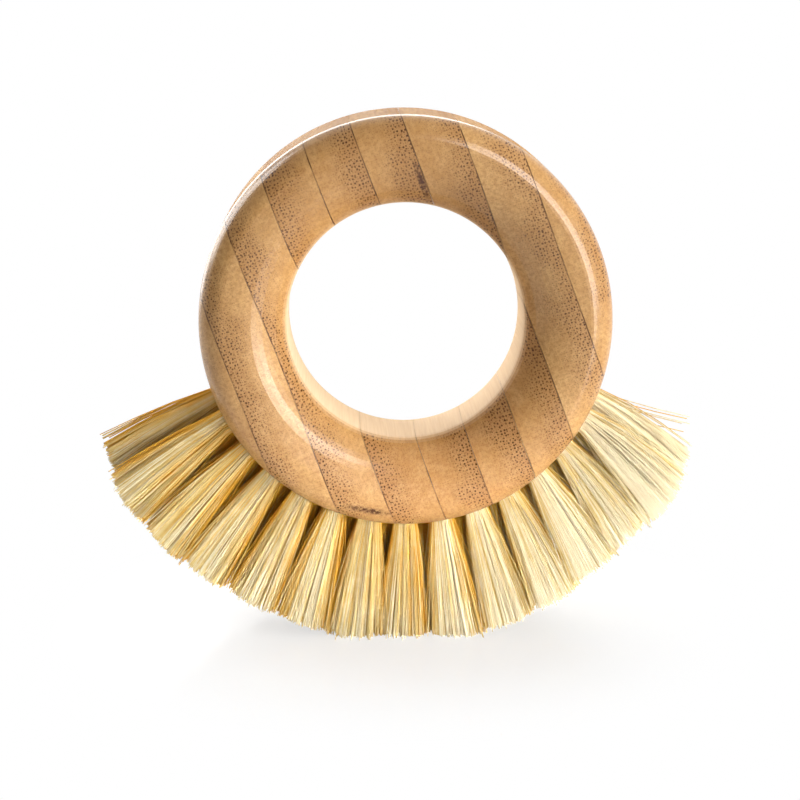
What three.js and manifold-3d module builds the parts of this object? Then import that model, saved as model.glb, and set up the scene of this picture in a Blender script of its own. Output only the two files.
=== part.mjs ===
// Ring vegetable brush
// A ring handle glued up from bamboo strips, with three staggered rows of plant-fibre tufts in
// its lower rim. Each tuft is folded over a flat steel anchor near the bottom of a blind hole.
// Millimetres, +Z up. The ring's axis lies along Y, its front looks toward -Y, and the brush
// stands on its trimmed bristle tips at z = 0.

import * as THREE from "three";
import { mergeVertices } from "three/addons/utils/BufferGeometryUtils.js";
import Module from "manifold-3d";

// Ring handle
const RING_RADIUS = 40;
const BORE_RADIUS = 23;
const RING_THICKNESS = 30;
const OUTER_FILLET = 6;
const INNER_FILLET = 7;
const LEAST_FACE_FLAT = 2;
const RING_STEPS = 60;
const FILLET_STEPS = 2;

// Bamboo strips, whose seams lean to the left at the top
const SEAM_LEAN = THREE.MathUtils.degToRad(20.5);
const BORE_STRIPS = 5;
const LEFT_WEB = 2.4;
const LEFT_WALL_SPLIT = 0.66;
const RIGHT_BITE = 0.4;
const RIGHT_WALL_SPLIT = 0.55;
const GLUE_GAP = 0.3;

// Rows of tuft holes in the lower rim
const OUTER_ROW_TUFTS = 13;
const FOOT_TUFTS = 3;
const TUFT_STEP = THREE.MathUtils.degToRad(10.1);
const ROW_SPACING = 6.5;
const HOLE_RADIUS = 2.4;
const HOLE_DEPTH = 8;
const HOLE_SIDES = 6;

// Slice of the rim that holds each group of tufts together
const SLICE_DEPTH = 2;
const SLICE_MARGIN = 0.7;
const SLICE_STEPS = 10;
const FIT_GAP = 0.3;

// Bristles
const BRISTLE_LENGTH = 22.5;
const TRIM_FLAT = 0.5;
const TIP_STEP = THREE.MathUtils.degToRad(9.6);
const TIP_ROW_SPACING = 8;
const STRAND_RADIUS = 0.55;
const STRAND_SIDES = 3;
const STRAND_GAP = 0.7;
const STRAND_RINGS = [
  { count: 3, reach: 0.38, turn: 0.5 },
  { count: 6, reach: 1, turn: 0 },
];

// Flat steel anchors, which wedge across the holes
const STAPLE_HEIGHT = 1.8;
const STAPLE_THICKNESS = 0.5;
const STAPLE_FOOT = 1.2;

// Colours and finishes
const BAMBOO_TONES = ["#c2935c", "#cda271", "#b98a58", "#c99a68"];
const VARNISHED = { roughness: 0.45, metalness: 0 };
const DRY_FIBRE = { color: "#e6d29a", roughness: 0.75, metalness: 0 };
const BRIGHT_STEEL = { color: "#b9b8b3", roughness: 0.35, metalness: 1 };

// Sizes that follow from the driving dimensions
const HALF_THICKNESS = RING_THICKNESS / 2;
const TIP_RADIUS = RING_RADIUS + BRISTLE_LENGTH;
const RING_HEIGHT = TIP_RADIUS - TRIM_FLAT;
const FLOOR_RADIUS = RING_RADIUS - SLICE_DEPTH;
const ROOT_RADIUS = RING_RADIUS - SLICE_DEPTH / 2;
const DOWN = -Math.PI / 2;
const FAN_HALF_ANGLE = ((OUTER_ROW_TUFTS + 1) / 2) * TUFT_STEP;
const SLICE_WIDTH = 2 * (ROW_SPACING + HOLE_RADIUS + SLICE_MARGIN);
const PLUG_RADIUS = HOLE_RADIUS - FIT_GAP;
const STAPLE_LENGTH = 2 * (HOLE_RADIUS - FIT_GAP);
const CUTTER = 2 * (TIP_RADIUS + RING_THICKNESS);
const AXIS_Y = new THREE.Vector3(0, 1, 0);
const AXIS_Z = new THREE.Vector3(0, 0, 1);

const wasm = await Module();
wasm.setup();

// Closed three.js geometry to a solid
function solidOf(geometry) {
  geometry.deleteAttribute("normal");
  geometry.deleteAttribute("uv");
  const merged = mergeVertices(geometry);
  const vertProperties = new Float32Array(merged.attributes.position.array);
  const triVerts = new Uint32Array(merged.index.array);
  return new wasm.Manifold(new wasm.Mesh({ numProp: 3, vertProperties, triVerts }));
}

// Solid back to a three.js geometry
function geometryOf(solid) {
  const mesh = solid.getMesh();
  const geometry = new THREE.BufferGeometry();
  geometry.setAttribute("position", new THREE.BufferAttribute(mesh.vertProperties, 3));
  geometry.setIndex(new THREE.BufferAttribute(mesh.triVerts, 1));
  geometry.computeVertexNormals();
  return geometry;
}

function join(solids) {
  return solids.reduce((whole, solid) => whole.add(solid));
}

function namedMesh(name, geometry, finish) {
  const mesh = new THREE.Mesh(geometry, new THREE.MeshStandardMaterial(finish));
  mesh.name = name;
  return mesh;
}

// Directions at an angle round the ring, counted from +X toward +Z
function radialAt(angle) {
  return new THREE.Vector3(Math.cos(angle), 0, Math.sin(angle));
}

function tangentAt(angle) {
  return new THREE.Vector3(Math.sin(angle), 0, -Math.cos(angle));
}

// Straight prism between two points, its regular section with one corner along +Y
function prismBetween(start, end, radius, sides) {
  const corners = Array.from({ length: sides }, (_, index) => {
    const turn = Math.PI / 2 + (index / sides) * 2 * Math.PI;
    return new THREE.Vector2(radius * Math.cos(turn), radius * Math.sin(turn));
  });
  const along = new THREE.Vector3().subVectors(end, start);
  const prism = new THREE.ExtrudeGeometry(new THREE.Shape(corners), {
    depth: along.length(),
    bevelEnabled: false,
  });
  prism.applyQuaternion(new THREE.Quaternion().setFromUnitVectors(AXIS_Z, along.normalize()));
  prism.translate(start.x, start.y, start.z);
  return solidOf(prism);
}

// Rounded ring, turned about Y, with fillets that leave a flat on its faces and its rim
function ringBlank() {
  const wallFit = (RING_RADIUS - BORE_RADIUS - LEAST_FACE_FLAT) / (OUTER_FILLET + INNER_FILLET);
  const sideFit = (HALF_THICKNESS - LEAST_FACE_FLAT) / Math.max(OUTER_FILLET, INNER_FILLET);
  const fit = Math.min(1, wallFit, sideFit);
  const outer = OUTER_FILLET * fit;
  const inner = INNER_FILLET * fit;
  const quarter = Math.PI / 2;
  const profile = new THREE.Path();
  profile.absarc(RING_RADIUS - outer, outer - HALF_THICKNESS, outer, -quarter, 0);
  profile.absarc(RING_RADIUS - outer, HALF_THICKNESS - outer, outer, 0, quarter);
  profile.absarc(BORE_RADIUS + inner, HALF_THICKNESS - inner, inner, quarter, 2 * quarter);
  profile.absarc(BORE_RADIUS + inner, inner - HALF_THICKNESS, inner, 2 * quarter, 3 * quarter);
  profile.closePath();
  return solidOf(new THREE.LatheGeometry(profile.getPoints(FILLET_STEPS), RING_STEPS));
}

// Arc-shaped slab below the ring's centre, open to the rim
function rimArc(innerRadius, outerRadius, halfAngle, width) {
  const outline = new THREE.Shape();
  outline.absarc(0, 0, outerRadius, DOWN - halfAngle, DOWN + halfAngle, false);
  outline.absarc(0, 0, innerRadius, DOWN + halfAngle, DOWN - halfAngle, true);
  outline.closePath();
  const slab = new THREE.ExtrudeGeometry(outline, {
    depth: width,
    bevelEnabled: false,
    curveSegments: SLICE_STEPS,
  });
  slab.translate(0, 0, -width / 2);
  slab.rotateX(Math.PI / 2);
  return solidOf(slab);
}

// Tufts of the three rows, the middle row standing in the gaps of the outer ones
function tuftRows() {
  const rows = [
    { name: "front", count: OUTER_ROW_TUFTS, place: -1 },
    { name: "middle", count: OUTER_ROW_TUFTS + 1, place: 0 },
    { name: "back", count: OUTER_ROW_TUFTS, place: 1 },
  ];
  return rows.flatMap(({ name, count, place }) =>
    Array.from({ length: count }, (_, index) => {
      const steps = index - (count - 1) / 2;
      return {
        name: `${name}_${String(index + 1).padStart(2, "0")}`,
        place,
        y: place * ROW_SPACING,
        angle: DOWN + steps * TUFT_STEP,
        tipY: place * TIP_ROW_SPACING,
        tipAngle: DOWN + steps * TIP_STEP,
      };
    }),
  );
}

// Point at an angle round the ring: out from its centre, across the row and along its axis
function rimPoint(angle, out, across, y) {
  return radialAt(angle)
    .multiplyScalar(out)
    .addScaledVector(tangentAt(angle), across)
    .addScaledVector(AXIS_Y, y);
}

function tuftHole({ angle, y }, bottomRadius, topRadius, radius) {
  const bottom = rimPoint(angle, bottomRadius, 0, y);
  const top = rimPoint(angle, topRadius, 0, y);
  return prismBetween(bottom, top, radius, HOLE_SIDES);
}

// Where a tuft's anchor lies
function staplePlace({ angle, y }) {
  const out = RING_RADIUS - HOLE_DEPTH + STAPLE_FOOT + FIT_GAP + STAPLE_HEIGHT / 2;
  const place = new THREE.Matrix4().makeBasis(tangentAt(angle), AXIS_Y, radialAt(angle));
  return place.setPosition(rimPoint(angle, out, 0, y));
}

function stapleBox(gap) {
  return new THREE.BoxGeometry(STAPLE_THICKNESS + 2 * gap, STAPLE_LENGTH + 2 * gap, STAPLE_HEIGHT + 2 * gap);
}

// Strands of one tuft, fanning out from the rim to the trimmed tips
function strandsOf({ angle, y, tipAngle, tipY }) {
  const baseReach = PLUG_RADIUS - STRAND_RADIUS;
  const tipAcross = (TIP_STEP * TIP_RADIUS - STRAND_GAP) / 2 - STRAND_RADIUS;
  const tipAlong = (TIP_ROW_SPACING - STRAND_GAP) / 2 - STRAND_RADIUS;
  return STRAND_RINGS.flatMap(({ count, reach, turn }) =>
    Array.from({ length: count }, (_, index) => {
      const around = ((index + turn) / count) * 2 * Math.PI;
      const u = reach * Math.cos(around);
      const v = reach * Math.sin(around);
      const root = rimPoint(angle, ROOT_RADIUS, u * baseReach, y + v * baseReach);
      const across = u * tipAcross;
      const tip = rimPoint(tipAngle, Math.sqrt(TIP_RADIUS ** 2 - across ** 2), across, tipY + v * tipAlong);
      return prismBetween(root, tip, STRAND_RADIUS, STRAND_SIDES);
    }),
  );
}

// Folded root of a tuft, with the slot that its anchor sits in
function tuftRoot(tuft) {
  const bottomRadius = RING_RADIUS - HOLE_DEPTH + FIT_GAP;
  const plug = tuftHole(tuft, bottomRadius, ROOT_RADIUS, PLUG_RADIUS);
  return plug.subtract(solidOf(stapleBox(FIT_GAP).applyMatrix4(staplePlace(tuft))));
}

// Block on one side of a slanted cut that passes between the tufts of every row
function sideOfCut(angle, side) {
  const slant = Math.atan2(FLOOR_RADIUS * (TUFT_STEP / 2), ROW_SPACING);
  const radial = radialAt(angle);
  const run = AXIS_Y.clone().applyAxisAngle(radial, slant);
  const normal = new THREE.Vector3().crossVectors(run, radial);
  const block = new THREE.BoxGeometry(CUTTER, CUTTER, CUTTER);
  block.translate((side * (CUTTER - FIT_GAP)) / 2, 0, 0);
  block.applyMatrix4(new THREE.Matrix4().makeBasis(normal, run, radial));
  return solidOf(block);
}

// Which side of a slanted cut a tuft stands on
function isPastCut(tuft, cutAngle) {
  return tuft.angle > cutAngle + (tuft.place * TUFT_STEP) / 2;
}

const BRISTLE_GROUPS = ["left_end", "left_foot", "right_foot", "right_end"];

function bristleMeshes(ring, tufts) {
  const cuts = [-FOOT_TUFTS, 0, FOOT_TUFTS].map((steps) => DOWN + steps * TUFT_STEP);
  const backing = rimArc(FLOOR_RADIUS, TIP_RADIUS, FAN_HALF_ANGLE, SLICE_WIDTH).intersect(ring);
  const floor = new THREE.BoxGeometry(CUTTER, CUTTER, CUTTER);
  floor.translate(0, 0, -RING_HEIGHT - CUTTER / 2);
  const ground = solidOf(floor);
  return BRISTLE_GROUPS.map((name, group) => {
    let slice = backing;
    if (group > 0) slice = slice.subtract(sideOfCut(cuts[group - 1], 1));
    if (group < cuts.length) slice = slice.subtract(sideOfCut(cuts[group], -1));
    const members = tufts.filter((tuft) => cuts.filter((cut) => isPastCut(tuft, cut)).length === group);
    const body = join([slice, ...members.map(tuftRoot), ...members.flatMap(strandsOf)]);
    return namedMesh(`bristles_${name}`, geometryOf(body.subtract(ground)), DRY_FIBRE);
  });
}

// Slab between two seams, over the whole ring or only its upper or lower half
function stripSlab(left, right, half) {
  const slab = new THREE.BoxGeometry(right - left, CUTTER, CUTTER);
  slab.translate((left + right) / 2, 0, (half * CUTTER) / 2);
  slab.rotateY(-SEAM_LEAN);
  return solidOf(slab);
}

// Seams from left to right: one that splits each side wall, and the rest evenly from a web
// outside the left of the bore to just inside the right of it
function seamOffsets() {
  const { lerp } = THREE.MathUtils;
  const first = -BORE_RADIUS - LEFT_WEB;
  const last = BORE_RADIUS - RIGHT_BITE;
  const leftWall = lerp(first, -RING_RADIUS, LEFT_WALL_SPLIT);
  const rightWall = lerp(last, RING_RADIUS, RIGHT_WALL_SPLIT);
  const overBore = Array.from({ length: BORE_STRIPS + 1 }, (_, index) =>
    lerp(first, last, index / BORE_STRIPS),
  );
  return [leftWall, ...overBore, rightWall];
}

// Ring with the seat of the slices and the tuft holes cut out of it
function drilledRing(ring, tufts) {
  const seatAngle = FAN_HALF_ANGLE + FIT_GAP / RING_RADIUS;
  const seat = rimArc(FLOOR_RADIUS - FIT_GAP, TIP_RADIUS, seatAngle, SLICE_WIDTH + 2 * FIT_GAP);
  const holes = tufts.map((tuft) => tuftHole(tuft, RING_RADIUS - HOLE_DEPTH, RING_RADIUS, HOLE_RADIUS));
  return ring.subtract(join([seat, ...holes]));
}

function stripMeshes(ring, tufts) {
  const drilled = drilledRing(ring, tufts);
  const edges = [-CUTTER / 2, ...seamOffsets(), CUTTER / 2];
  return edges.slice(1).flatMap((edge, index) => {
    const left = edges[index] + GLUE_GAP / 2;
    const right = edge - GLUE_GAP / 2;
    const crossesBore = Math.max(Math.abs(left), Math.abs(right)) < BORE_RADIUS;
    const halves = crossesBore ? [["_upper", 1], ["_lower", -1]] : [["", 0]];
    return halves.map(([suffix, half]) => {
      const strip = drilled.intersect(stripSlab(left, right, half));
      const finish = { ...VARNISHED, color: BAMBOO_TONES[index % BAMBOO_TONES.length] };
      return namedMesh(`bamboo_strip_${index + 1}${suffix}`, geometryOf(strip), finish);
    });
  });
}

function stapleMeshes(tufts) {
  return tufts.map((tuft) => {
    const staple = namedMesh(`staple_${tuft.name}`, stapleBox(0), BRIGHT_STEEL);
    staplePlace(tuft).decompose(staple.position, staple.quaternion, staple.scale);
    return staple;
  });
}

const blank = ringBlank();
const allTufts = tuftRows();
const brush = new THREE.Group();
brush.position.z = RING_HEIGHT;
brush.add(...stripMeshes(blank, allTufts));
brush.add(...bristleMeshes(blank, allTufts));
brush.add(...stapleMeshes(allTufts));

export default brush;
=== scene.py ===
"""Ring vegetable brush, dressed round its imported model.

A ring handle glued up from bamboo strips, end grain to the front, with three staggered rows of
plant-fibre tufts in its lower rim. Metres, +Z up, the ring's axis along Y and its front toward -Y.
"""

import math
import random

import bpy
import numpy as np
from mathutils import Matrix, Vector


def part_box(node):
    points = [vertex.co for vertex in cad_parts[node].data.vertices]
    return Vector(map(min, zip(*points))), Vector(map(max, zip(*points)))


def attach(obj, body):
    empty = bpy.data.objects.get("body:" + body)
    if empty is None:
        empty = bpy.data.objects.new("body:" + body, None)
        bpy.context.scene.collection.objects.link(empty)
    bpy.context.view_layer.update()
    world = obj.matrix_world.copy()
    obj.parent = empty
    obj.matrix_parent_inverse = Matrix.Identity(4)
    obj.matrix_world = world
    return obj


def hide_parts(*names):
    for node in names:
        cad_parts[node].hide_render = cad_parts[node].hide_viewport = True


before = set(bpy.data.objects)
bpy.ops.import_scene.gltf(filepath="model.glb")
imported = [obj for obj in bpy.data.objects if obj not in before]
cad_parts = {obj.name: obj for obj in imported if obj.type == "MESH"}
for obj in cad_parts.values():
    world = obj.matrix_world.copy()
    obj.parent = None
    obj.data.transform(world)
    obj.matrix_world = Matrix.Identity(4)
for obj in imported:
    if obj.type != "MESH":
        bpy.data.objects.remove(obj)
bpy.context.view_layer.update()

bl_info = {
    "name": "Ring vegetable brush",
    "version": (1, 0, 0),
    "blender": (4, 5, 0),
    "location": "View3D > Sidebar > Brush",
    "description": "Bamboo ring brush with plant-fibre tufts",
    "category": "Object",
}

BODY = "root"
MILLIMETRE = 0.001
DOWN = -math.pi / 2
TINY = 1e-9


def joined_box(prefix):
    """Lowest and highest corner of all the nodes whose names start with a prefix."""
    boxes = [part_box(name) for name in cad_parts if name.startswith(prefix)]
    low = [min(box[0][axis] for box in boxes) for axis in range(3)]
    high = [max(box[1][axis] for box in boxes) for axis in range(3)]
    return low, high


RING_LOW, RING_HIGH = joined_box("bamboo_strip_")
RING_RADIUS = (RING_HIGH[0] - RING_LOW[0]) / 2
RING_THICKNESS = RING_HIGH[1] - RING_LOW[1]
RING_HEIGHT = RING_HIGH[2] - RING_RADIUS


def colour(code):
    """Scene colour, with alpha, of a written sRGB one such as #c99a68."""
    shares = [int(code[start:start + 2], 16) / 255 for start in (1, 3, 5)]
    linear = [
        ((share + 0.055) / 1.055) ** 2.4 if share > 0.04045 else share / 12.92
        for share in shares
    ]
    return (*linear, 1.0)


def length_setting(name, description, default):
    """Property for a size in metres."""
    return bpy.props.FloatProperty(
        name=name, description=description, default=default, unit="LENGTH", precision=5
    )


def angle_setting(name, description, degrees):
    """Property for an angle."""
    return bpy.props.FloatProperty(
        name=name, description=description, default=math.radians(degrees), subtype="ANGLE"
    )


def colour_setting(name, description, code):
    """Property for a colour."""
    return bpy.props.FloatVectorProperty(
        name=name, description=description, default=colour(code), subtype="COLOR", size=4, min=0, max=1
    )


def count_setting(name, description, default):
    """Property for a whole number."""
    return bpy.props.IntProperty(name=name, description=description, default=default)


def power_setting(name, description, watts):
    """Property for a lamp's power."""
    return bpy.props.FloatProperty(name=name, description=description, default=watts, subtype="POWER")


class BrushRing(bpy.types.PropertyGroup):
    """Sizes of the bamboo ring and its strips."""

    radius: length_setting("Radius", "Outer radius of the ring", RING_RADIUS)
    bore_radius: length_setting("Bore radius", "Radius of the finger hole", 0.023)
    thickness: length_setting("Thickness", "Size of the ring along its axis", RING_THICKNESS)
    height: length_setting("Height", "Height of the ring's centre above the floor", RING_HEIGHT)
    outer_round: length_setting(
        "Outer round", "How far the outer edge's round reaches over the face", 0.005
    )
    outer_drop: length_setting("Outer drop", "How far the outer edge's round reaches down the rim", 0.005)
    inner_round: length_setting("Inner round", "How far the bore's round reaches over the face", 0.011)
    inner_drop: length_setting("Inner drop", "How far the bore's round reaches into the bore", 0.008)
    lean: angle_setting("Seam lean", "How far the seams lean to the left at the top", 20.5)
    bore_strips: count_setting(
        "Bore strips", "Strips from the seam left of the bore to the last seam in it", 5
    )
    left_web: length_setting("Left web", "Wood between the bore and the seam left of it", 0.0024)
    right_bite: length_setting("Right bite", "How far the last seam lies inside the bore", 0.0004)
    glue_gap: length_setting("Glue gap", "Gap between neighbouring strips", 0.00004)


class BrushBristles(bpy.types.PropertyGroup):
    """Sizes of the tufts and their fibres."""

    outer_row_tufts: count_setting("Outer row tufts", "Tufts in the front row and in the back row", 13)
    tuft_step: angle_setting("Tuft step", "Angle round the ring between two tufts of a row", 10.1)
    tip_step: angle_setting("Tip step", "Angle round the ring between the tips of two tufts", 9.6)
    right_lean: angle_setting("Right lean", "How far the right end's tufts lean in, per step squared", 0.06)
    row_spacing: length_setting("Row spacing", "Distance between two rows at the rim", 0.0065)
    tip_row_spacing: length_setting("Tip row spacing", "Distance between two rows at the tips", 0.0105)
    hole_radius: length_setting("Hole radius", "Radius of a tuft's hole", 0.0024)
    hole_depth: length_setting("Hole depth", "Depth of a tuft's hole", 0.008)
    length: length_setting("Bristle length", "Length of the fibres outside the rim", 0.0225)
    fibres: count_setting("Fibres", "Fibres in each tuft", 680)
    fibre_radius: length_setting("Fibre radius", "Radius of one fibre at its root", 0.000118)
    tip_across: length_setting("Tip reach across", "Half width of a tuft's tip, along the row", 0.0054)
    tip_along: length_setting("Tip reach along", "Half width of a tuft's tip, across the rows", 0.0042)
    clumping: length_setting("Clumping", "How far neighbouring fibres lean together at the tips", 0.0016)
    bend: length_setting("Bend", "How far a fibre bows to one side", 0.00015)
    ragged: length_setting("Ragged tips", "Spread of the fibres' lengths", 0.0018)
    seed: count_setting("Seed", "Start of the random draws", 7)


class BrushFinish(bpy.types.PropertyGroup):
    """Colours of the materials."""

    bamboo_pale: colour_setting("Pale bamboo", "Ground of the lighter strips", "#d1a56b")
    bamboo_deep: colour_setting("Deep bamboo", "Ground of the darker strips", "#ba8a50")
    bamboo_rose: colour_setting("Rose bamboo", "Ground near the outer skin of the cane", "#a27244")
    # Partly painted light: the bore is painted this pale cream all round, partly the long grain's own paler
    # colour and partly standing in for light on the bore wall
    bamboo_cream: colour_setting("Cream bamboo", "Sanded long grain in the bore", "#ecd4b0")
    bundle: colour_setting("Bundles", "Dark bundles in the end grain", "#40200f")
    glue: colour_setting("Glue", "Lines between the strips", "#4a2613")
    # Fibre colours, picked by a tone that also carries painted light and shade: gold and the root colour
    # are painted where shade falls in and between the tufts, cream on tufts painted paler as if lit more
    fibre_cream: colour_setting("Cream fibre", "Lightest fibres", "#f9ecc9")
    fibre_straw: colour_setting("Straw fibre", "Most fibres", "#e4c985")
    fibre_gold: colour_setting("Golden fibre", "Darker fibres", "#dea73a")
    # Painted shade: fibres take this colour deep between the tufts near the rim, where shade falls
    fibre_root: colour_setting("Fibre roots", "Fibres deep between the tufts", "#ecac36")
    steel: colour_setting("Steel", "Anchors of the tufts", "#b9b8b3")
    steel_shade: colour_setting("Steel shade", "Drawn lines in the anchors", "#8d8b86")


class BrushStage(bpy.types.PropertyGroup):
    """Floor, light and camera."""

    floor: colour_setting("Floor", "Colour of the floor", "#f4f4f4")
    far_floor: colour_setting("Far floor", "Light that the floor throws back farther off", "#949494")
    distance: length_setting("Camera distance", "From the camera to the ring's centre", 0.4054)
    azimuth: angle_setting("Camera azimuth", "How far the camera stands to the left", 1.62)
    elevation: angle_setting("Camera elevation", "How far the camera looks down", 9.29)
    aim_left: length_setting("Aim left", "How far left of the ring's centre the camera aims", 0.0009)
    aim_down: length_setting("Aim down", "How far below the ring's centre the camera aims", 0.0173)
    lens: bpy.props.FloatProperty(
        name="Lens", description="Focal length", default=92.1, subtype="DISTANCE_CAMERA"
    )
    ambient: bpy.props.FloatProperty(name="Ambient", description="Light from all round", default=0.22)
    key: power_setting("Key", "Streak in the varnish", 1.4)
    side: power_setting("Side", "Soft light on the right", 14.8)
    rim: power_setting("Rim", "Light above and behind", 3.1)
    edge: power_setting("Edge", "Line on the outer edge", 1.9)
    shoulder: power_setting("Shoulder", "Band on the ring's left shoulder", 2.6)
    fill: power_setting("Fill", "Soft light in front", 0.36)
    foot: power_setting("Foot", "Low light on the bristles", 0.049)


class Wire:
    """Socket of a node tree, so that node maths reads as Python expressions."""

    def __init__(self, tree, socket=None):
        self.tree = tree
        self.socket = socket

    def node(self, kind, settings=None, sockets=None, output=0):
        """Adds a node of any kind, sets it up, fills its sockets and gives one of its outputs."""
        node = self.tree.nodes.new(kind)
        for name, value in (settings or {}).items():
            setattr(node, name, value)
        for key, value in (sockets or {}).items():
            self.plug(value, node.inputs[key])
        return Wire(self.tree, node.outputs[output] if node.outputs else None)

    def plug(self, value, target):
        """Links a wire to a socket, or writes a plain value on it."""
        if isinstance(value, Wire):
            self.tree.links.new(value.socket, target)
        else:
            target.default_value = value

    def other(self, output):
        """Another output of the same node."""
        return Wire(self.tree, self.socket.node.outputs[output])

    def maths(self, operation, *values):
        """Result of a Math node."""
        return self.node("ShaderNodeMath", {"operation": operation}, dict(enumerate(values)))

    def vector(self, operation, *values, output=0):
        """Result of a Vector Math node."""
        return self.node("ShaderNodeVectorMath", {"operation": operation}, dict(enumerate(values)), output)

    def scaled(self, factor):
        """This vector times a number."""
        return self.node("ShaderNodeVectorMath", {"operation": "SCALE"}, {0: self, "Scale": factor})

    def ramp(self, low, high, start=0.0, end=1.0):
        """Smooth step from start at low to end at high."""
        sockets = {"Value": self, "From Min": low, "From Max": high, "To Min": start, "To Max": end}
        return self.node("ShaderNodeMapRange", {"interpolation_type": "SMOOTHSTEP"}, sockets)

    def noise(self, scale, detail=2.0, output=0):
        """Noise over this vector: its value, or its colour as output 1."""
        sockets = {"Vector": self, "Scale": scale, "Detail": detail}
        return self.node("ShaderNodeTexNoise", None, sockets, output)

    def blend(self, first, second):
        """Colour between two others, with this value as the factor."""
        return self.node("ShaderNodeMix", {"data_type": "RGBA"}, {0: self, 6: first, 7: second}, 2)

    def combine(self, x, y, z):
        """Vector of three values."""
        return self.node("ShaderNodeCombineXYZ", None, {0: x, 1: y, 2: z})

    def parts(self):
        """The three values of a vector."""
        split = self.node("ShaderNodeSeparateXYZ", None, {0: self})
        return split, split.other(1), split.other(2)

    def __add__(self, value):
        return self.maths("ADD", self, value)

    def __radd__(self, value):
        return self.maths("ADD", value, self)

    def __sub__(self, value):
        return self.maths("SUBTRACT", self, value)

    def __rsub__(self, value):
        return self.maths("SUBTRACT", value, self)

    def __mul__(self, value):
        return self.maths("MULTIPLY", self, value)

    def __rmul__(self, value):
        return self.maths("MULTIPLY", value, self)

    def __truediv__(self, value):
        return self.maths("DIVIDE", self, value)

    def __rtruediv__(self, value):
        return self.maths("DIVIDE", value, self)

    def __pow__(self, value):
        return self.maths("POWER", self, value)

    def __abs__(self):
        return self.maths("ABSOLUTE", self)


def new_material(name):
    """Material with an empty tree, and a wire to start from."""
    material = bpy.data.materials.new(name)
    material.use_nodes = True
    material.node_tree.nodes.clear()
    return material, Wire(material.node_tree)


def principled(start, sockets):
    """Principled shader, with values or wires for its sockets."""
    return start.node("ShaderNodeBsdfPrincipled", None, sockets)


def show(shader):
    """Makes a shader the surface of its material."""
    shader.node("ShaderNodeOutputMaterial", None, {"Surface": shader})


def strip_width(ring):
    """Width of the strips that cross the bore."""
    return (2 * ring.bore_radius + ring.left_web - ring.right_bite) / ring.bore_strips


# Dark marks on the front, in millimetres across and along the strips: the place and the half sizes
# of each, and its turn in degrees
STAINS = ((12.3, 25.0, 0.8, 5.0, 0), (-19.6, -31.3, 5.2, 0.8, -31))

# Millimetres in the cane from one strip's place to the next one's, across and along the strips
CANE_STEP_X = 37.3
CANE_STEP_Z = 21.7

# Millimetres that this place wanders, and how fast it does so across, through and along the ring
CANE_WANDER = 1.2
WANDER_RATE = (0.1, 0.03, 0.1)


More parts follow.
